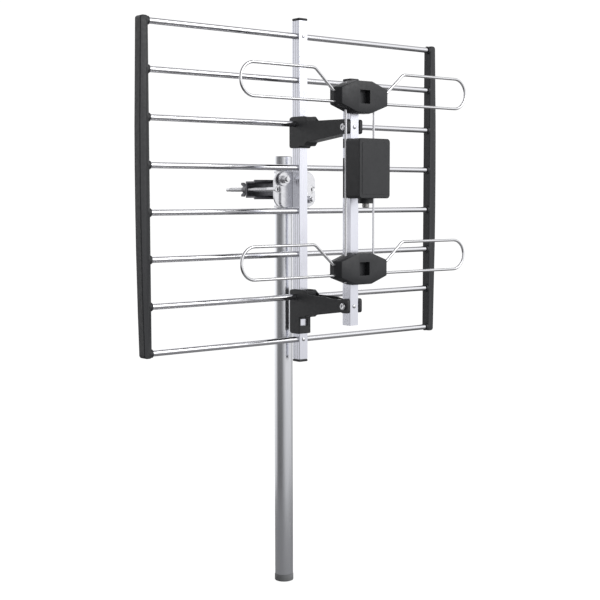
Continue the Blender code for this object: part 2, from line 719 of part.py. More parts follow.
def build_phase_lines():
    """Two straight wires that join the bays behind the balun cover."""
    reach = 0.0178
    low = BAY_Z["lower"] - reach
    high = BAY_Z["upper"] + reach
    for side, word in ((-1, "left"), (1, "right")):
        points = [(side * PHASE_X, PHASE_Y, low), (side * PHASE_X, PHASE_Y, high)]
        wire_object(f"phase_line_{word}", points, PHASE_WIRE, POLISHED, AZIMUTH)


# ---------------------------------------------------------------- balun
NECKS = ((-0.0116, 0.0398), (0.0526, 0.0645))   # heights of the base's two necks


def build_balun():
    """Matching box: cover, base that clips on the front boom, board, core and connector."""
    half = BALUN_HALF_WIDTH
    middle = (BALUN_TOP + BALUN_BOTTOM) / 2
    outline = [(x, middle + z) for x, z in
               rounded_rectangle(half, (BALUN_TOP - BALUN_BOTTOM) / 2, BALUN_CORNER)]
    cover_mesh = outline_mesh("balun_cover", outline, BALUN_FRONT, BALUN_BACK, "Y")
    cover = place("balun_cover", cover_mesh, BLACK_PLASTIC, AZIMUTH)
    bevel(cover, 0.0008, 1, angle=60)
    join(cover, cylinder_mesh("boss", BOSS_RADIUS, BOSS_BOTTOM, BALUN_BOTTOM + 0.005,
                              (0, CONNECTOR_Y), "Z", steps=32))
    cut(cover, box_mesh("flat_back", (-half, BALUN_BACK, BOSS_BOTTOM - 0.01),
                        (half, BALUN_BACK + 0.01, BALUN_BOTTOM)))
    wall = BALUN_WALL
    cut(cover, box_mesh("hollow", (-half + wall, BALUN_FRONT + wall, BALUN_BOTTOM + wall),
                        (half - wall, BALUN_BACK + 0.01, BALUN_TOP - wall)))
    cut(cover, cylinder_mesh("port", CONNECTOR_RADIUS + GAP, BOSS_BOTTOM - 0.005,
                             BALUN_BOTTOM + 0.010, (0, CONNECTOR_Y), "Z"))
    lid_half = half - wall - GAP
    lid_front = BALUN_BACK - 0.0018
    base = place("balun_base", box_mesh(
        "balun_base", (-lid_half, lid_front, BALUN_BOTTOM + wall + GAP),
        (lid_half, BALUN_BACK, BALUN_TOP - wall - GAP)), BLACK_PLASTIC, AZIMUTH)
    neck_half = 0.0150
    finger = BOOM_SECTION / 2 + 0.0020
    grip = BOOM_SECTION / 2 + GAP
    boom_front = FRONT_BOOM_Y - grip
    for low, high in NECKS:
        low_in = max(low, BALUN_BOTTOM + wall + 2 * GAP)
        high_in = min(high, BALUN_TOP - wall - 2 * GAP)
        join(base, box_mesh("neck", (-neck_half, BALUN_BACK - 0.001, low_in),
                            (neck_half, boom_front - 0.0005, high_in)))
        join(base, box_mesh("finger", (-finger, boom_front - 0.003, low),
                            (finger, FRONT_BOOM_Y + 0.0045, high)))
    cut(base, box_mesh("grip", (-grip, boom_front, BALUN_BOTTOM - 0.01),
                       (grip, FRONT_BOOM_Y + 0.02, BALUN_TOP + 0.01)))
    build_balun_inside()


def build_balun_inside():
    """What the balun box holds, and its coaxial connector."""
    board_back = BALUN_BACK - 0.0060
    board_thickness = 0.0016
    board = place("balun_board", box_mesh(
        "balun_board", (-0.0200, board_back - board_thickness, -0.0020),
        (0.0200, board_back, 0.0560)), BOARD_GREEN, AZIMUTH)
    cut(board, cylinder_mesh("slot", 0.0016, board_back - 0.004, board_back + 0.002,
                             (0, 0.0480), "Y"))
    core_front = board_back - board_thickness - GAP
    core_length = 0.008
    turned_piece("balun_core", [
        (0.0025, core_length), (0.0055, core_length), (0.0060, core_length - 0.0005),
        (0.0060, 0.0005), (0.0055, 0), (0.0025, 0)],
        FERRITE, AZIMUTH, (0, core_front, 0.0280), (math.radians(90), 0, 0), steps=SMALL_STEPS)
    for side, word in ((-1, "left"), (1, "right")):
        build_feed_clip(f"feed_clip_{word}", side, board_back)
    inner = 0.0034
    flange_top = BALUN_BOTTOM + 0.0060
    flange = 0.0052
    turned_piece("connector_body", [
        (inner, flange_top), (flange, flange_top), (flange, BALUN_BOTTOM + BALUN_WALL + GAP),
        (CONNECTOR_RADIUS, BALUN_BOTTOM + BALUN_WALL + GAP),
        (CONNECTOR_RADIUS, CONNECTOR_BOTTOM + 0.0005), (CONNECTOR_RADIUS - 0.0005, CONNECTOR_BOTTOM),
        (inner, CONNECTOR_BOTTOM)],
        BRASS, AZIMUTH, (0, CONNECTOR_Y, 0), steps=ROD_STEPS)
    socket = 0.0009
    turned_piece("connector_insulator", [
        (socket, flange_top), (inner - GAP, flange_top), (inner - GAP, CONNECTOR_BOTTOM + 0.0012),
        (socket, CONNECTOR_BOTTOM + 0.0012)],
        WHITE_PLASTIC, AZIMUTH, (0, CONNECTOR_Y, 0), steps=SMALL_STEPS)
    pin = socket - GAP
    turned_piece("connector_pin", [
        (0, flange_top + 0.002), (pin, flange_top + 0.002), (pin, CONNECTOR_BOTTOM + 0.0040),
        (0, CONNECTOR_BOTTOM + 0.0040)],
        BRASS, AZIMUTH, (0, CONNECTOR_Y, 0))


def build_feed_clip(name, side, board_back):
    """Spring strip from the board to one of the phase lines, through a slot in the base."""
    strip = 0.0006
    low, high = 0.0440, 0.0500
    foot, riser = 0.0150, 0.0190
    line_edge = PHASE_X - PHASE_WIRE - GAP
    front = board_back + GAP
    back = PHASE_Y + strip / 2
    chain = [(foot, front), (riser, front), (riser, back - strip), (line_edge, back - strip),
             (line_edge, back), (riser - strip, back), (riser - strip, front + strip),
             (foot, front + strip)]
    outline = [(side * x, y) for x, y in chain]
    clip = place(name, outline_mesh(name, outline, low, high, "Z"), ZINC_STEEL, AZIMUTH)
    room = 0.0005
    slot_low, slot_high = sorted((side * (riser - strip - room), side * (riser + room)))
    cut(bpy.data.objects["balun_base"], box_mesh(
        "clip_slot", (slot_low, BALUN_BACK - 0.01, low - room),
        (slot_high, BALUN_BACK + 0.01, high + room)))
    return clip


# ---------------------------------------------------------------- mast clamp
def vee_edge(tip_y, end_y, teeth):
    """Toothed edge of a vee on the +X side, (x, y), from its tip to its mouth."""
    direction = 1 if end_y > tip_y else -1
    length = abs(end_y - tip_y) / math.cos(VEE_HALF_ANGLE)
    along = Vector((math.sin(VEE_HALF_ANGLE), direction * math.cos(VEE_HALF_ANGLE)))
    away = Vector((math.cos(VEE_HALF_ANGLE), -direction * math.sin(VEE_HALF_ANGLE)))
    tip = Vector((0, tip_y))
    depth = 0.0008
    points = [tuple(tip)]
    for tooth in range(teeth):
        points.append(tuple(tip + along * length * (tooth + 0.5) / teeth + away * depth))
        points.append(tuple(tip + along * length * (tooth + 1) / teeth))
    return points


def vee_tip(direction):
    """Y of a vee's tip, when its edges clear the mast by the gap."""
    return direction * (MAST_RADIUS + GAP) / math.sin(VEE_HALF_ANGLE)


def hexagon(radius):
    """Corner points of a hexagon about the origin."""
    return arc_points((0, 0), radius, 0, 300, 5)


def build_clamp_plates():
    """Front plate riveted to the boom, and the saddle bolted to it."""
    round_corner = 0.0070
    plate_mesh = outline_mesh(
        "boom_plate", rounded_rectangle(PLATE_HALF_WIDTH, PLATE_HALF_HEIGHT, round_corner),
        PLATE_FRONT, PLATE_FRONT + PLATE_THICKNESS, "Y")
    plate = place("boom_plate", plate_mesh, ZINC_STEEL, AZIMUTH)
    saddle_round = 0.0155
    saddle_mesh = outline_mesh(
        "mast_saddle", rounded_rectangle(SADDLE_HALF_WIDTH, PLATE_HALF_HEIGHT, saddle_round, 8),
        SADDLE_FRONT, SADDLE_FRONT + PLATE_THICKNESS, "Y")
    saddle = place("mast_saddle", saddle_mesh, ZINC_STEEL, AZIMUTH)
    lip_half = 0.0225
    tip = vee_tip(-1)
    edge = vee_edge(tip, SADDLE_LIP_BACK, 6)
    lip = ([(-x, y) for x, y in reversed(edge[1:])] + edge
           + [(lip_half, SADDLE_LIP_BACK), (lip_half, SADDLE_FRONT + 0.001),
              (-lip_half, SADDLE_FRONT + 0.001), (-lip_half, SADDLE_LIP_BACK)])
    for low in (-PLATE_HALF_HEIGHT, PLATE_HALF_HEIGHT - PLATE_THICKNESS):
        join(saddle, outline_mesh("lip", lip, low, low + PLATE_THICKNESS, "Z"))
    through = (PLATE_FRONT - 0.01, SADDLE_FRONT + 0.01)
    for side in (-1, 1):
        place_and_height = (side * PLATE_BOLT_X, -side * PLATE_BOLT_Z)
        for piece in (plate, saddle):
            cut(piece, cylinder_mesh("hole", M6_HOLE, *through, place_and_height, "Y"))
        cut_bolt_seat(saddle, side, through)
        build_plate_fasteners(side)
        build_clamp_bolt(side)
    for word, height in (("upper", 0.0125), ("lower", -0.0125)):
        build_plate_rivet(f"plate_rivet_{word}", plate, height)
    return plate


def cut_bolt_seat(saddle, side, through):
    """Vee slot for a clamp bolt in the saddle's edge, and the pressed groove for its hook."""
    base = CLAMP_BOLT_X - 0.0042
    apex = CLAMP_BOLT_X + 0.0065
    window = [(side * base, -0.0068), (side * apex, -0.0006),
              (side * apex, 0.0006), (side * base, 0.0068)]
    hook_end = CLAMP_BOLT_X - HOOK_REACH
    depth = HOOK_THICKNESS + 2 * GAP
    wall = 0.0022
    inner, outer = sorted((side * (hook_end - wall), side * (base + 0.001)))
    join(saddle, box_mesh("bulge", (inner, SADDLE_FRONT + 0.001, -HOOK_HALF_HEIGHT - wall),
                          (outer, SADDLE_FRONT + depth + wall, HOOK_HALF_HEIGHT + wall)))
    inner, outer = sorted((side * (hook_end - GAP), side * CLAMP_BOLT_X))
    room = HOOK_HALF_HEIGHT + GAP
    cut(saddle, box_mesh("groove", (inner, SADDLE_FRONT - 0.002, -room),
                         (outer, SADDLE_FRONT + depth, room)))
    cut(saddle, outline_mesh("window", window, *through, "Y"))


def build_plate_rivet(name, plate, height):
    """Countersunk rivet from the plate into the boom's back wall."""
    shank = 0.0024
    head = 0.0042
    deep = 0.0014
    face = PLATE_FRONT + PLATE_THICKNESS
    inside = BOOM_Y + BOOM_SECTION / 2 - BOOM_WALL
    length = face - inside
    profile = [(0, 0), (head, 0), (shank, -deep), (shank, -length - GAP),
               (shank + 0.0010, -length - GAP), (shank + 0.0010, -length - 0.0012),
               (0, -length - 0.0012)]
    turned_piece(name, profile, ZINC_STEEL, AZIMUTH, (0, face, height),
                 (math.radians(-90), 0, 0), steps=SMALL_STEPS)
    clear = shank + GAP
    boom = bpy.data.objects["reflector_boom"]
    for piece in (plate, boom):
        cut(piece, cylinder_mesh("rivet_hole", clear, inside - 0.001, face + 0.001,
                                 (0, height), "Y"))
    slack = 0.0008
    cut(plate, cylinder_mesh("countersink", shank + GAP, face - deep - GAP, face + slack,
                             (0, height), "Y", top_radius=head + GAP + slack * 1.5))


def build_plate_fasteners(side):
    """Bolt, washer and nut that hold the plate to the saddle."""
    word = "upper" if side < 0 else "lower"
    x, z = side * PLATE_BOLT_X, -side * PLATE_BOLT_Z
    back = SADDLE_FRONT + PLATE_THICKNESS + GAP
    head_height = 0.004
    bolt = place(f"plate_bolt_{word}", outline_mesh(
        "bolt_head", hexagon(M6_NUT_RADIUS), back, back + head_height, "Y"),
        ZINC_STEEL, AZIMUTH, (x, 0, z))
    washer_front = PLATE_FRONT - GAP - WASHER_HEIGHT
    nut_front = washer_front - GAP - M6_NUT_HEIGHT
    end = nut_front - 0.0030
    join(bolt, cylinder_mesh("shank", M6_RADIUS, end, back + 0.001, (0, 0), "Y"))
    washer = place(f"plate_washer_{word}", cylinder_mesh(
        "washer", WASHER_RADIUS, washer_front, PLATE_FRONT - GAP, (0, 0), "Y", steps=32),
        ZINC_STEEL, AZIMUTH, (x, 0, z))
    cut(washer, cylinder_mesh("hole", M6_HOLE, washer_front - 0.01, PLATE_FRONT + 0.01,
                              (0, 0), "Y"))
    nut = place(f"plate_nut_{word}", outline_mesh(
        "nut", hexagon(M6_NUT_RADIUS), nut_front, washer_front - GAP, "Y"),
        ZINC_STEEL, AZIMUTH, (x, 0, z))
    cut(nut, cylinder_mesh("hole", M6_HOLE, nut_front - 0.01, PLATE_FRONT + 0.01, (0, 0), "Y"))


def build_clamp_bolt(side):
    """Long bolt from the saddle to the wing nut: hooked at the front, a pilot at the end."""
    word = "left" if side < 0 else "right"
    seat = SADDLE_FRONT + GAP
    thread = CLAMP_THREAD_END - seat
    length = CLAMP_BOLT_END - seat
    pilot = 0.0026
    neck = 0.0022
    chamfer = 0.0010
    profile = [(0, length), (pilot - chamfer, length), (pilot, length - chamfer),
               (pilot, thread + 0.0020), (neck, thread + 0.0015), (neck, thread + 0.0005),
               (M6_RADIUS - chamfer, thread), (M6_RADIUS, thread - chamfer), (M6_RADIUS, 0),
               (0, 0)]
    bolt = turned_piece(f"clamp_bolt_{word}", profile, ZINC_STEEL, AZIMUTH,
                        (side * CLAMP_BOLT_X, seat, 0), (math.radians(-90), 0, 0),
                        steps=SMALL_STEPS)
    inner, outer = sorted((0, -side * HOOK_REACH))
    return join(bolt, box_mesh("hook", (inner, -HOOK_HALF_HEIGHT, 0),
                               (outer, HOOK_HALF_HEIGHT, HOOK_THICKNESS)))


def build_jaw():
    """Toothed channel behind the mast, which the wing nuts pull forward."""
    web = 0.0026
    width = JAW_HALF_WIDTH
    high = JAW_HALF_HEIGHT
    back_high = JAW_BACK_HALF_HEIGHT
    overlap = 0.0025
    jaw = place("clamp_jaw", box_mesh("clamp_jaw", (-width, JAW_BACK - web, -back_high),
                                      (width, JAW_BACK, back_high)), DARK_STEEL, JAW_SLIDE)
    mouth = JAW_HALF_WIDTH - 0.0170
    edge = vee_edge(vee_tip(1), JAW_FRONT, 6)
    front_end = JAW_SHOULDER + overlap
    front_shelf = ([(-x, y) for x, y in reversed(edge[1:])] + edge
                   + [(mouth, JAW_FRONT), (width, JAW_SHOULDER), (width, front_end),
                      (-width, front_end), (-width, JAW_SHOULDER), (-mouth, JAW_FRONT)])
    for side in (-1, 1):
        low, far = sorted((side * (high - web - 0.0004), side * high))
        join(jaw, outline_mesh("front_shelf", front_shelf, low, far, "Z"))
        low, far = sorted((side * (back_high - web), side * back_high))
        join(jaw, box_mesh("back_shelf", (-width, JAW_SHOULDER, low),
                           (width, JAW_BACK - 0.001, far)))
    for side in (-1, 1):
        cut(jaw, cylinder_mesh("hole", M6_HOLE, JAW_BACK - 0.01, JAW_BACK + 0.01,
                               (side * CLAMP_BOLT_X, 0), "Y"))
        build_wing_nut(side)
    return jaw


def build_wing_nut(side):
    """Wing nut, with its wings upright at rest."""
    word = "left" if side < 0 else "right"
    hub_front = JAW_BACK + GAP
    hub = 0.0110
    nut = place(f"wing_nut_{word}", cylinder_mesh(
        "hub", 0.0060, hub_front, hub_front + hub, (0, 0), "Y", top_radius=0.0043),
        DARK_STEEL, JAW_SLIDE, (side * CLAMP_BOLT_X, 0, 0))
    wing_start = hub_front + 0.0050
    half_thickness = 0.0011
    tall = 0.0098
    outline = [(wing_start, -0.0036), (wing_start + 0.0042, -tall + 0.0010),
               (wing_start + 0.0056, -tall), (wing_start + 0.0104, -tall),
               (wing_start + 0.0114, -tall + 0.0010), (wing_start + 0.0114, -tall + 0.0030),
               (wing_start + 0.0055, -0.0034)]
    outline += [(y, -z) for y, z in reversed(outline)]
    join(nut, outline_mesh("wings", outline, -half_thickness, half_thickness, "X"))
    cut(nut, cylinder_mesh("thread", M6_HOLE, hub_front - 0.01, hub_front + 0.03, (0, 0), "Y"))
    return nut


# ---------------------------------------------------------------- assembly
build_mast()
build_reflector()
build_front_frame()
for bay_name in BAY_Z:
    build_insulator(bay_name)
    build_loops(bay_name)
build_phase_lines()
build_balun()
build_clamp_plates()
build_jaw()
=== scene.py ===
"""Looks for the two-bay UHF grid antenna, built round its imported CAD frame.

Everything is in metres in the part's own frame: +Z up, the dipoles face -Y.
"""

import math

import bmesh
import bpy
from mathutils import Matrix, Vector


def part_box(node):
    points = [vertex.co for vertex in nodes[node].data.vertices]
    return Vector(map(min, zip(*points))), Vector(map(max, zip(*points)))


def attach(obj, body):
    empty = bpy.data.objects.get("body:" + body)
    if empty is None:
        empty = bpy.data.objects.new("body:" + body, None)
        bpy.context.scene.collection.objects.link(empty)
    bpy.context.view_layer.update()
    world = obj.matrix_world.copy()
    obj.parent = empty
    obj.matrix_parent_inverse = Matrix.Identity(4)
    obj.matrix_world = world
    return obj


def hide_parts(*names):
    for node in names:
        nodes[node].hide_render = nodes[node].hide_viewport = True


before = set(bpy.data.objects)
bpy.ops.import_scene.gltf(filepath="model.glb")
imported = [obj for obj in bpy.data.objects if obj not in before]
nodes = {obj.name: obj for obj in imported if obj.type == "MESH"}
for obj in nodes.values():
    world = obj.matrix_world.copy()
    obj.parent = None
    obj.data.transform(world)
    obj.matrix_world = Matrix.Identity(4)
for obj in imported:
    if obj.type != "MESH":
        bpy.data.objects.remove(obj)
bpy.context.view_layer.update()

# ---------------------------------------------------------------- measures
CAMERA_AT = (-1.0533, -1.3104, 0.5423)
CAMERA_HEADING = math.radians(39.58)
CAMERA_DOWN = math.radians(4.89)
CAMERA_ROLL = math.radians(-0.079)
LENS = 72.55

LOOP_RADIUS = 0.0019
LOOP_LEG_RISE = 0.0135          # upper leg's end above the lower leg
LOOP_SHOULDER = 0.0760          # X where a loop's upper wire turns down
LOOP_KNEE = 0.0450              # X where the slanted leg levels out, beside the housing
LOOP_SWEEP = 0.018              # the loops lean forward by this much of their reach
THREAD_PITCH = 0.001
FLOOR_HALF = 0.5


# ---------------------------------------------------------------- materials
class Shader:
    """A Principled material that is built up with procedural detail."""

    def __init__(self, name, color, roughness, metallic=0.0, specular=0.5):
        self.material = bpy.data.materials.new(name)
        self.material.use_nodes = True
        self.tree = self.material.node_tree
        self.main = self.tree.nodes["Principled BSDF"]
        self.main.inputs["Base Color"].default_value = (*color, 1.0)
        self.main.inputs["Roughness"].default_value = roughness
        self.main.inputs["Metallic"].default_value = metallic
        self.main.inputs["Specular IOR Level"].default_value = specular
        self.color = color
        self.roughness = roughness
        self.heights = []
        self.coords = self.tree.nodes.new("ShaderNodeTexCoord")

    def node(self, kind, **values):
        """Add a node and set its plain properties."""
        made = self.tree.nodes.new(kind)
        for key, value in values.items():
            setattr(made, key, value)
        return made

    def link(self, start, end):
        """Join two sockets."""
        self.tree.links.new(start, end)

    def noise(self, scale, detail=3.0, stretch=(1, 1, 1), roughness=0.5):
        """Noise in the part's own coordinates, stretched along an axis if asked."""
        mapping = self.node("ShaderNodeMapping")
        mapping.inputs["Scale"].default_value = stretch
        self.link(self.coords.outputs["Object"], mapping.inputs["Vector"])
        texture = self.node("ShaderNodeTexNoise")
        texture.inputs["Scale"].default_value = scale
        texture.inputs["Detail"].default_value = detail
        texture.inputs["Roughness"].default_value = roughness
        self.link(mapping.outputs["Vector"], texture.inputs["Vector"])
        return texture.outputs["Fac"]

    def spread(self, value, low, high, start=0.3, end=0.7):
        """Map a 0-1 value onto a range."""
        remap = self.node("ShaderNodeMapRange")
        remap.inputs["From Min"].default_value = start
        remap.inputs["From Max"].default_value = end
        remap.inputs["To Min"].default_value = low
        remap.inputs["To Max"].default_value = high
        self.link(value, remap.inputs["Value"])
        return remap.outputs["Result"]

    def vary_color(self, value, other, start=0.35, end=0.65):
        """Blend the base colour towards another with a noise."""
        ramp = self.node("ShaderNodeValToRGB")
        ramp.color_ramp.elements[0].position = start
        ramp.color_ramp.elements[1].position = end
        ramp.color_ramp.elements[0].color = (*self.color, 1.0)
        ramp.color_ramp.elements[1].color = (*other, 1.0)
        self.link(value, ramp.inputs["Fac"])
        self.link(ramp.outputs["Color"], self.main.inputs["Base Color"])

    def vary_roughness(self, value, low, high):
        """Let the roughness wander between two values."""
        self.link(self.spread(value, low, high), self.main.inputs["Roughness"])

    def bump(self, value, distance, strength=1.0):
        """Add a bump layer on top of the ones before."""
        made = self.node("ShaderNodeBump")
        made.inputs["Strength"].default_value = strength
        made.inputs["Distance"].default_value = distance
        self.link(value, made.inputs["Height"])
        if self.heights:
            self.link(self.heights[-1].outputs["Normal"], made.inputs["Normal"])
        self.heights.append(made)
        self.link(made.outputs["Normal"], self.main.inputs["Normal"])


def moulded_plastic(name, color, paler, roughness=0.42):
    """Moulded plastic with a fine spark-eroded grain and faint flow marks."""
    made = Shader(name, color, roughness, specular=0.5)
    made.vary_color(made.noise(38, 4, (1, 1, 0.5)), paler)
    made.vary_roughness(made.noise(210, 3), roughness - 0.05, roughness + 0.08)
    made.bump(made.noise(2400, 2), 0.00004, 0.35)
    made.bump(made.noise(160, 2), 0.00005, 0.20)
    return made.material


def drawn_metal(name, color, darker, roughness, stretch, grain=900, depth=0.00002):
    """Metal drawn or extruded along one axis: fine lines, faint smears and dull patches."""
    made = Shader(name, color, roughness, metallic=1.0)
    made.vary_color(made.noise(grain, 3, stretch), darker, 0.30, 0.90)
    made.vary_roughness(made.noise(45, 4, stretch), roughness - 0.02, roughness + 0.04)
    made.bump(made.noise(grain * 1.6, 2, stretch), depth, 0.12)
    return made.material


def plated_metal(name, color, darker, roughness, grain=260):
    """Pressed or turned steel with a thin plating: small dull spots, soft unevenness."""
    made = Shader(name, color, roughness, metallic=1.0)
    made.vary_color(made.noise(grain, 4), darker, 0.40, 0.85)
    made.vary_roughness(made.noise(130, 4), roughness - 0.04, roughness + 0.06)
    made.bump(made.noise(1300, 2), 0.00002, 0.18)
    return made.material


BLACK = moulded_plastic("black_plastic", (0.027, 0.028, 0.031), (0.032, 0.033, 0.036), 0.45)
GREY = moulded_plastic("grey_plastic", (0.22, 0.225, 0.23), (0.26, 0.265, 0.27), 0.5)
WHITE = moulded_plastic("white_plastic", (0.80, 0.80, 0.76), (0.86, 0.86, 0.83), 0.4)
ROD = drawn_metal("drawn_rod", (0.93, 0.93, 0.95), (0.88, 0.88, 0.91), 0.12, (0.03, 1, 1))
WIRE = drawn_metal("drawn_wire", (0.92, 0.92, 0.93), (0.87, 0.87, 0.89), 0.14, (0.05, 1, 1))
LINE = drawn_metal("drawn_line", (0.86, 0.86, 0.88), (0.78, 0.78, 0.81), 0.18, (1, 1, 0.05))
BOOM = drawn_metal("extruded_boom", (0.87, 0.88, 0.945), (0.82, 0.83, 0.90), 0.26, (1, 1, 0.02))
MAST = drawn_metal("galvanised_tube", (0.89, 0.90, 0.93), (0.83, 0.84, 0.87), 0.23, (1, 1, 0.03))
ZINC = plated_metal("zinc_plate", (0.82, 0.82, 0.84), (0.74, 0.75, 0.77), 0.24)
DARK = plated_metal("dark_steel", (0.16, 0.16, 0.17), (0.10, 0.10, 0.11), 0.36)
BRASS = plated_metal("brass", (0.78, 0.62, 0.32), (0.66, 0.50, 0.24), 0.24)
NICKEL = plated_metal("nickel", (0.62, 0.61, 0.60), (0.50, 0.49, 0.48), 0.24)
BOARD = moulded_plastic("board_laminate", (0.03, 0.16, 0.07), (0.04, 0.20, 0.09), 0.35)
FERRITE = moulded_plastic("ferrite", (0.045, 0.045, 0.048), (0.06, 0.06, 0.065), 0.62)


# ---------------------------------------------------------------- piece helpers
def finish_piece(mesh, name, material, body, slot, *cad_nodes):
    """Put a mesh into the scene as a piece that rides on a body and stands for CAD nodes."""
    piece = bpy.data.objects.new(name, mesh)
    bpy.context.scene.collection.objects.link(piece)
    mesh.materials.clear()
    mesh.materials.append(material)
    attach(piece, body)
    if cad_nodes:
        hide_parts(*cad_nodes)
    return piece


def smooth(mesh, angle=32):
    """Smooth shading with hard edges kept."""
    mesh.shade_smooth()
    mesh.set_sharp_from_angle(angle=math.radians(angle))


AXES = {
    "X": Matrix.Rotation(math.radians(90), 4, "Y"),
    "Y": Matrix.Rotation(math.radians(-90), 4, "X"),
    "Z": Matrix.Identity(4),
}


def lathe_mesh(name, profile, axis, at, steps=64, closed=None):
    """Turn a chain of (radius, height) points about an axis through a point."""
    work = bmesh.new()
    chain = [work.verts.new((radius, 0, height)) for radius, height in profile]
    edges = [work.edges.new(pair) for pair in zip(chain, chain[1:])]
    if closed or (closed is None and profile[0][0] > 0 and profile[-1][0] > 0):
        edges.append(work.edges.new((chain[-1], chain[0])))
    bmesh.ops.spin(work, geom=chain + edges, axis=(0, 0, 1), cent=(0, 0, 0),
                   angle=math.tau, steps=steps, use_merge=True)
    bmesh.ops.remove_doubles(work, verts=work.verts, dist=0.0000005)
    bmesh.ops.transform(work, matrix=Matrix.Translation(at) @ AXES[axis], verts=work.verts)
    bmesh.ops.recalc_face_normals(work, faces=work.faces)
    mesh = bpy.data.meshes.new(name)
    work.to_mesh(mesh)
    work.free()
    smooth(mesh)
    return mesh


def wire_mesh(name, points, radius, sides=6):
    """Round wire along a chain of points, with filled ends."""
    curve = bpy.data.curves.new(name, "CURVE")
    curve.dimensions = "3D"
    curve.bevel_depth = radius
    curve.bevel_resolution = sides
    curve.use_fill_caps = True
    spline = curve.splines.new("POLY")
    spline.points.add(len(points) - 1)
    for target, point in zip(spline.points, points):
        target.co = (*point, 1)
    guide = bpy.data.objects.new(name, curve)
    bpy.context.scene.collection.objects.link(guide)
    graph = bpy.context.evaluated_depsgraph_get()
    mesh = bpy.data.meshes.new_from_object(guide.evaluated_get(graph))
    bpy.data.objects.remove(guide)
    work = bmesh.new()
    work.from_mesh(mesh)
    bmesh.ops.remove_doubles(work, verts=work.verts, dist=0.000001)
    work.to_mesh(mesh)
    work.free()
    smooth(mesh, 50)
    return mesh


def prism_mesh(name, outline, low, high, axis):
    """Extrude a closed outline along an axis; its coordinates are the other two axes in order."""
    spread = {
        "X": lambda u, v, w: (w, u, v),
        "Y": lambda u, v, w: (u, w, v),
        "Z": lambda u, v, w: (u, v, w),
    }[axis]
    work = bmesh.new()
    base = [work.verts.new(spread(u, v, low)) for u, v in outline]
    face = work.faces.new(base)
    grown = bmesh.ops.extrude_face_region(work, geom=[face], use_keep_orig=True)
    moved = [item for item in grown["geom"] if isinstance(item, bmesh.types.BMVert)]
    shift = Vector(spread(0, 0, high - low))
    bmesh.ops.translate(work, vec=shift, verts=moved)
    bmesh.ops.recalc_face_normals(work, faces=work.faces)
    mesh = bpy.data.meshes.new(name)
    work.to_mesh(mesh)
    work.free()
    smooth(mesh)
    return mesh


def arc(centre, radius, start, end, steps):
    """Points along an arc, in degrees."""
    result = []
    for step in range(steps + 1):
        angle = math.radians(start + (end - start) * step / steps)
        result.append((centre[0] + radius * math.cos(angle), centre[1] + radius * math.sin(angle)))
    return result


def fillet(points, radius, steps=6):
    """Round each inner corner of an open chain of 2D points."""
    result = [points[0]]
    for before, corner, after in zip(points, points[1:], points[2:]):
        corner = Vector(corner)
        back = (Vector(before) - corner).normalized()
        ahead = (Vector(after) - corner).normalized()
        half_turn = back.angle(ahead) / 2
        reach = radius / math.tan(half_turn)
        centre = corner + (back + ahead).normalized() * (radius / math.sin(half_turn))
        first = corner + back * reach - centre
        last = corner + ahead * reach - centre
        sweep = first.angle_signed(last)
        for step in range(steps + 1):
            spoke = first.copy()
            spoke.rotate(Matrix.Rotation(-sweep * step / steps, 2))
            result.append(tuple(centre + spoke))
    result.append(points[-1])
    return result


def bevel(piece, width, segments, angle=32):
    """Round a piece's edges."""
    step = piece.modifiers.new("bevel", "BEVEL")
    step.width = width
    step.segments = segments
    step.limit_method = "ANGLE"
    step.angle_limit = math.radians(angle)
    step.harden_normals = True


def dress(node, material, width):
    """Give a CAD node its material, merge its flat triangles and round its edges."""
    piece = nodes[node]
    mesh = piece.data
    mesh.materials.clear()
    mesh.materials.append(material)
    for layer in ("custom_normal", "sharp_face", "sharp_edge"):
        if layer in mesh.attributes:
            mesh.attributes.remove(mesh.attributes[layer])
    weld = piece.modifiers.new("weld", "WELD")
    weld.merge_threshold = 0.000002
    flat = piece.modifiers.new("flat", "DECIMATE")
    flat.decimate_type = "DISSOLVE"
    flat.angle_limit = math.radians(0.6)
    bevel(piece, width, 2)
    mesh.shade_smooth()


# ---------------------------------------------------------------- mast
def build_mast():
    """Tube, flush top plug and foot cap."""
    low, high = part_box("mast_pole")
    radius = (high.x - low.x) / 2
    inner = radius - 0.0015
    edge = 0.0003
    profile = [(inner, high.z - edge), (inner + edge, high.z), (radius - edge, high.z),
               (radius, high.z - edge), (radius, low.z + edge), (radius - edge, low.z),
               (inner + edge, low.z), (inner, low.z + edge)]
    mesh = lathe_mesh("mast_tube", profile, "Z", (0, 0, 0), 96)
    finish_piece(mesh, "mast_tube", MAST, "mast", "galvanised_steel", "mast_pole")
    for node in ("mast_top_cap", "mast_foot_cap"):
        low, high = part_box(node)
        outer = (high.x - low.x) / 2
        round_edge = 0.0009
        if node == "mast_top_cap":
            profile = ([(0, high.z - 0.0002), (outer * 0.55, high.z - 0.0001)]
                       + arc_edge(outer, high.z, round_edge) + [(outer, low.z), (0, low.z)])
        else:
            skirt = 0.009
            plug = radius - 0.0019
            profile = ([(0, high.z), (plug - 0.0008, high.z), (plug, high.z - 0.0008), (plug, skirt)]
                       + arc_edge(outer, skirt, round_edge)
                       + [(outer, round_edge), (outer - round_edge * 0.3, round_edge * 0.3),
                          (outer - round_edge, 0), (0, 0)])
        mesh = lathe_mesh(node + "_fine", profile, "Z", (0, 0, 0), 64, closed=False)
        finish_piece(mesh, node + "_fine", GREY, "mast", "grey_plastic", node)


def arc_edge(radius, top, size, steps=4):
    """Rounded top edge of a turned piece."""
    return [(radius - size + size * math.sin(math.radians(90 * step / steps)),
             top - size + size * math.cos(math.radians(90 * step / steps)))
            for step in range(steps + 1)]


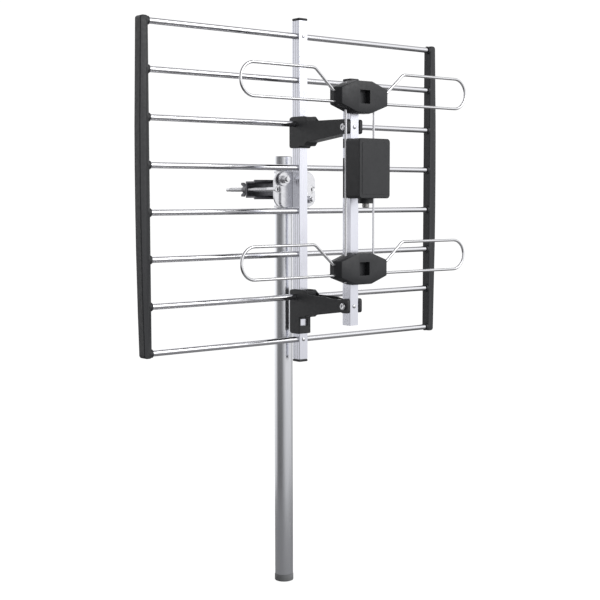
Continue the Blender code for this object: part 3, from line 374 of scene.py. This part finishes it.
# ---------------------------------------------------------------- booms, rods, strips
def ribbed_outline(centre, half):
    """Square section with three fine grooves in each of its two side faces."""
    corner = 0.0007
    margin = 0.0012
    count = 3
    pitch = 2 * (half - corner - margin) / count
    depth = 0.0005
    result = []
    for side in (1, -1):
        result += [(side * (half - corner), centre - side * half),
                   (side * half, centre - side * (half - corner))]
        for rib in range(count):
            start = -(half - corner - margin) + rib * pitch
            for across, deep in ((0.30, 0), (0.42, depth), (0.58, depth), (0.70, 0)):
                result.append((side * (half - deep), centre + side * (start + across * pitch)))
        result += [(side * half, centre + side * (half - corner)),
                   (side * (half - corner), centre + side * half)]
    return result


def build_boom(node, name):
    """Grooved boom, solid inside, with closed ends."""
    low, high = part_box(node)
    centre = (low.y + high.y) / 2
    half = (high.x - low.x) / 2
    mesh = prism_mesh(name, ribbed_outline(centre, half), low.z, high.z, "Z")
    finish_piece(mesh, name, BOOM, "antenna", "extruded_aluminium", node)


def build_rods():
    """Eight thin tubes across the boom."""
    for number in range(1, 9):
        node = f"reflector_rod_{number}"
        low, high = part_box(node)
        at = ((low.x + high.x) / 2, (low.y + high.y) / 2, (low.z + high.z) / 2)
        radius = (high.y - low.y) / 2
        half = (high.x - low.x) / 2
        inner = radius - 0.0008
        edge = 0.0002
        profile = [(inner, half), (radius - edge, half), (radius, half - edge),
                   (radius, -half + edge), (radius - edge, -half), (inner, -half)]
        mesh = lathe_mesh(f"rod_{number}", profile, "X", at, 40)
        finish_piece(mesh, f"rod_{number}", ROD, "antenna", "polished_aluminium", node)


# ---------------------------------------------------------------- loops and lines
def build_loops():
    """Wire dipole loops and the two phase lines."""
    for bay in ("upper", "lower"):
        for word, side in (("left", -1), ("right", 1)):
            node = f"{bay}_{word}_loop"
            low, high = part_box(node)
            radius = LOOP_RADIUS
            plane = high.y - radius
            top = high.z - radius
            bottom = low.z + radius
            outer = max(abs(low.x), abs(high.x)) - radius
            inner = min(abs(low.x), abs(high.x))
            bend = (top - bottom) / 2
            end = arc((outer - bend, (top + bottom) / 2), bend, -90, 90, 36)
            leg = bottom + LOOP_LEG_RISE
            upper = fillet([end[-1], (LOOP_SHOULDER, top), (LOOP_KNEE, leg), (inner, leg)], 0.010, 10)
            chain = [(inner, bottom)] + end + upper[1:]
            points = [(side * x, plane - LOOP_SWEEP * (x - inner), z) for x, z in chain]
            mesh = wire_mesh(f"{bay}_{word}_wire", points, radius)
            finish_piece(mesh, f"{bay}_{word}_wire", WIRE, "antenna", "polished_aluminium", node)
    for word in ("left", "right"):
        node = f"phase_line_{word}"
        low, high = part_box(node)
        radius = (high.x - low.x) / 2
        at = ((low.x + high.x) / 2, (low.y + high.y) / 2, 0)
        edge = 0.0003
        profile = [(0, high.z), (radius - edge, high.z), (radius, high.z - edge),
                   (radius, low.z + edge), (radius - edge, low.z), (0, low.z)]
        mesh = lathe_mesh(f"line_{word}", profile, "Z", at, 24, closed=False)
        finish_piece(mesh, f"line_{word}", LINE, "antenna", "polished_aluminium", node)


# ---------------------------------------------------------------- threads and the box's panel
def thread_rings(radius, start, end, depth):
    """Outer side of a thread as (radius, height) points, from start down to end."""
    count = int((start - end) / THREAD_PITCH)
    step = (start - end) / count
    result = []
    for turn in range(count):
        crest = start - turn * step
        result += [(radius, crest - step * 0.05), (radius, crest - step * 0.30),
                   (radius - depth, crest - step * 0.60), (radius - depth, crest - step * 0.75)]
    return result


def build_clamp_bolts():
    """Hooked clamp bolts with their threads and pilot ends."""
    for word in ("left", "right"):
        node = f"clamp_bolt_{word}"
        low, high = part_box(node)
        side = -1 if word == "left" else 1
        radius = (high.z - low.z) / 2
        outer = high.x if side > 0 else low.x
        centre_x = outer - side * radius
        pilot, neck, edge = 0.0026, 0.0022, 0.0008
        pilot_length, plain_length = 0.0106, 0.0200
        tip = high.y
        thread_end = tip - pilot_length
        thread_start = low.y + plain_length
        profile = [(0, tip), (pilot - edge, tip), (pilot, tip - edge), (pilot, thread_end + 0.0020),
                   (neck, thread_end + 0.0015), (neck, thread_end + 0.0005),
                   (radius - 0.0009, thread_end)]
        profile += thread_rings(radius - 0.00005, thread_end - 0.0003, thread_start, 0.0005)
        profile += [(radius, thread_start - 0.0005), (radius, low.y + 0.0003),
                    (radius - 0.0003, low.y), (0, low.y)]
        mesh = lathe_mesh(f"{node}_thread", profile, "Y", (centre_x, 0, 0.0), 32, closed=False)
        middle_z = (high.z + low.z) / 2
        mesh.transform(Matrix.Translation((0, 0, middle_z)))
        finish_piece(mesh, f"{node}_fine", ZINC, "antenna", "zinc_plated_steel", node)
        reach, half, thick, edge = 0.0085, 0.0025, 0.0021, 0.0006
        tip_x = centre_x - side * reach
        left, right = sorted((tip_x, centre_x))
        flat = [(left + edge, middle_z - half), (right, middle_z - half), (right, middle_z + half),
                (left + edge, middle_z + half), (left, middle_z + half - edge),
                (left, middle_z - half + edge)]
        if side < 0:
            flat = [(left + right - x, z) for x, z in reversed(flat)]
        hook = prism_mesh(f"{node}_hook", flat, low.y, low.y + thick, "Y")
        hook_piece = finish_piece(hook, f"{node}_hook", ZINC, "antenna", "zinc_plated_steel")
        bevel(hook_piece, 0.0003, 2)


def build_connector():
    """Threaded shell of the coaxial connector."""
    node = "connector_body"
    low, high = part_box(node)
    centre = ((low.x + high.x) / 2, (low.y + high.y) / 2)
    flange = (high.x - low.x) / 2
    outer, inner, flange_thick = 0.0048, 0.0034, 0.0037
    thread_start = low.z + 0.0090
    profile = [(inner, high.z), (flange - 0.0003, high.z), (flange, high.z - 0.0003),
               (flange, high.z - flange_thick), (outer, high.z - flange_thick),
               (outer, thread_start + 0.0004)]
    profile += thread_rings(outer, thread_start, low.z + 0.0006, 0.00045)
    profile += [(outer - 0.0006, low.z + 0.0004), (outer - 0.0008, low.z), (inner, low.z)]
    mesh = lathe_mesh("connector_fine", profile, "Z", (*centre, 0), 48)
    finish_piece(mesh, "connector_fine", NICKEL, "antenna", "brass", node)


def build_panel():
    """Shallow raised panel on the matching box's front face."""
    low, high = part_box("balun_cover")
    inset, top_inset, bottom_inset = 0.0048, 0.0050, 0.0116
    proud = 0.0004
    corner = 0.0020
    left, right = low.x + inset, high.x - inset
    bottom, top = low.z + bottom_inset, high.z - top_inset
    outline = (arc((right - corner, top - corner), corner, 0, 90, 6)
               + arc((left + corner, top - corner), corner, 90, 180, 6)
               + arc((left + corner, bottom + corner), corner, 180, 270, 6)
               + arc((right - corner, bottom + corner), corner, 270, 360, 6))
    mesh = prism_mesh("front_panel", outline, low.y - proud, low.y + proud, "Y")
    panel = finish_piece(mesh, "front_panel", BLACK, "antenna", "black_plastic")
    bevel(panel, 0.0002, 2)


# ---------------------------------------------------------------- kept CAD nodes
KEPT = {
    BLACK: ("boom_top_cap", "boom_bottom_cap", "front_boom_cap", "left_edge_strip",
            "right_edge_strip", "upper_arm", "lower_arm", "upper_insulator_cover",
            "upper_insulator_base", "lower_insulator_cover", "lower_insulator_base",
            "balun_cover", "balun_base"),
    ZINC: ("boom_plate", "mast_saddle", "plate_bolt_upper", "plate_bolt_lower",
           "plate_washer_upper", "plate_washer_lower", "plate_nut_upper", "plate_nut_lower",
           "boom_rivet_upper", "boom_rivet_lower",
           "front_rivet_upper", "front_rivet_lower", "plate_rivet_upper", "plate_rivet_lower",
           "upper_fork_rivet", "lower_fork_rivet", "feed_clip_left", "feed_clip_right"),
    DARK: ("clamp_jaw", "wing_nut_left", "wing_nut_right"),
    NICKEL: ("connector_pin",),
    WHITE: ("connector_insulator",),
    BOARD: ("balun_board",),
    FERRITE: ("balun_core",),
}


def dress_kept():
    """Material and rounded edges for the CAD nodes that stay."""
    for material, names in KEPT.items():
        for name in names:
            dress(name, material, 0.0003)


# ---------------------------------------------------------------- stage
def build_floor():
    """Pale floor: nearly white to the camera, with a faint contact shadow, dull to the metal."""
    made = Shader("studio_floor", (0.33, 0.33, 0.335), 0.8)
    made.vary_roughness(made.noise(3, 2), 0.75, 0.85)
    seen = made.node("ShaderNodeBsdfDiffuse")
    seen.inputs["Color"].default_value = (0.35, 0.35, 0.35, 1)
    glow = made.node("ShaderNodeEmission")
    glow.inputs["Color"].default_value = (1, 1, 1, 1)
    glow.inputs["Strength"].default_value = 0.88
    both = made.node("ShaderNodeAddShader")
    made.link(seen.outputs["BSDF"], both.inputs[0])
    made.link(glow.outputs["Emission"], both.inputs[1])
    pick = made.node("ShaderNodeLightPath")
    mix = made.node("ShaderNodeMixShader")
    made.link(pick.outputs["Is Camera Ray"], mix.inputs["Fac"])
    made.link(made.main.outputs["BSDF"], mix.inputs[1])
    made.link(both.outputs["Shader"], mix.inputs[2])
    made.link(mix.outputs["Shader"], made.tree.nodes["Material Output"].inputs["Surface"])
    work = bmesh.new()
    corners = [work.verts.new((x * FLOOR_HALF, y * FLOOR_HALF, 0))
               for x, y in ((-1, -1), (1, -1), (1, 1), (-1, 1))]
    work.faces.new(corners)
    mesh = bpy.data.meshes.new("studio_floor")
    work.to_mesh(mesh)
    work.free()
    mesh.materials.append(made.material)
    floor = bpy.data.objects.new("studio_floor", mesh)
    bpy.context.scene.collection.objects.link(floor)


def build_world():
    """Soft surround with a bright front and a bright back; plain white to the camera."""
    world = bpy.data.worlds.new("studio")
    bpy.context.scene.world = world
    world.use_nodes = True
    tree = world.node_tree
    link = tree.links.new
    make = tree.nodes.new
    direction = make("ShaderNodeTexCoord")

    def lobe(towards, start, end, strength):
        """Brightness that grows towards a direction."""
        aim = make("ShaderNodeVectorMath")
        aim.operation = "DOT_PRODUCT"
        link(direction.outputs["Generated"], aim.inputs[0])
        aim.inputs[1].default_value = towards
        grow = make("ShaderNodeMapRange")
        grow.interpolation_type = "SMOOTHSTEP"
        grow.inputs["From Min"].default_value = start
        grow.inputs["From Max"].default_value = end
        grow.inputs["To Min"].default_value = 0.0
        grow.inputs["To Max"].default_value = strength
        link(aim.outputs["Value"], grow.inputs["Value"])
        return grow.outputs["Result"]

    def joined(first, second, operation="ADD"):
        """Sum or product of two values."""
        step = make("ShaderNodeMath")
        step.operation = operation
        for socket, value in zip(step.inputs, (first, second)):
            if isinstance(value, (int, float)):
                socket.default_value = value
            else:
                link(value, socket)
        return step.outputs["Value"]

    front = lobe((0.42, -0.907, 0.0), 0.0, 0.9, 0.75)
    back = lobe((0.2, 0.98, 0.0), 0.15, 0.9, 0.95)
    around = joined(joined(front, back), 0.25)
    parts = make("ShaderNodeSeparateXYZ")
    link(direction.outputs["Generated"], parts.inputs["Vector"])
    height = make("ShaderNodeMapRange")
    height.inputs["From Min"].default_value = -1
    height.inputs["From Max"].default_value = 1
    link(parts.outputs["Z"], height.inputs["Value"])
    ramp = make("ShaderNodeValToRGB")
    link(height.outputs["Result"], ramp.inputs["Fac"])
    stops = ramp.color_ramp.elements
    stops[0].position, stops[0].color = 0.0, (0.18, 0.18, 0.18, 1)
    stops[1].position, stops[1].color = 1.0, (0.50, 0.50, 0.51, 1)
    for place, grey in ((0.30, 0.20), (0.40, 0.58), (0.47, 0.97), (0.75, 1.0), (0.88, 0.75)):
        stop = stops.new(place)
        stop.color = (grey, grey, grey, 1)
    surround = tree.nodes["Background"]
    surround.inputs["Color"].default_value = (0.985, 0.985, 1.0, 1)
    link(joined(around, ramp.outputs["Color"], "MULTIPLY"), surround.inputs["Strength"])
    backdrop = make("ShaderNodeBackground")
    backdrop.inputs["Color"].default_value = (1, 1, 1, 1)
    backdrop.inputs["Strength"].default_value = 1.05
    pick = make("ShaderNodeLightPath")
    mix = make("ShaderNodeMixShader")
    link(pick.outputs["Is Camera Ray"], mix.inputs["Fac"])
    link(surround.outputs["Background"], mix.inputs[1])
    link(backdrop.outputs["Background"], mix.inputs[2])
    link(mix.outputs["Shader"], tree.nodes["World Output"].inputs["Surface"])


def build_stage():
    """Floor, surround and one soft light."""
    build_floor()
    build_world()
    add_light("key", (1.2, -2.6, 1.8), (0, -0.1, 0.55), 1.6, 1.6, 22)


def add_light(name, at, target, width, height, power):
    """Soft rectangular light."""
    data = bpy.data.lights.new(name, "AREA")
    data.shape = "RECTANGLE"
    data.size = width
    data.size_y = height
    data.energy = power
    light = bpy.data.objects.new(name, data)
    light.location = at
    light.rotation_euler = (Vector(target) - Vector(at)).to_track_quat("-Z", "Y").to_euler()
    bpy.context.scene.collection.objects.link(light)


def build_camera():
    """Camera in front of the dipoles and to their left."""
    data = bpy.data.cameras.new("camera")
    data.lens = LENS
    data.sensor_width = 36.0
    data.clip_start = 0.05
    camera = bpy.data.objects.new("camera", data)
    heading, down, roll = CAMERA_HEADING, CAMERA_DOWN, CAMERA_ROLL
    ahead = Vector((math.sin(heading) * math.cos(down), math.cos(heading) * math.cos(down),
                    -math.sin(down)))
    right = Vector((math.cos(heading), -math.sin(heading), 0))
    up = right.cross(ahead)
    turned_right = math.cos(roll) * right + math.sin(roll) * up
    turned_up = -math.sin(roll) * right + math.cos(roll) * up
    camera.matrix_world = Matrix((
        (turned_right.x, turned_up.x, -ahead.x, CAMERA_AT[0]),
        (turned_right.y, turned_up.y, -ahead.y, CAMERA_AT[1]),
        (turned_right.z, turned_up.z, -ahead.z, CAMERA_AT[2]),
        (0, 0, 0, 1)))
    bpy.context.scene.collection.objects.link(camera)
    bpy.context.scene.camera = camera


# ---------------------------------------------------------------- assembly
build_camera()
build_mast()
build_boom("reflector_boom", "rear_boom_fine")
build_boom("front_boom", "front_boom_fine")
build_rods()
build_loops()
build_clamp_bolts()
build_connector()
build_panel()
dress_kept()
build_stage()
bpy.context.scene.view_settings.view_transform = "Standard"
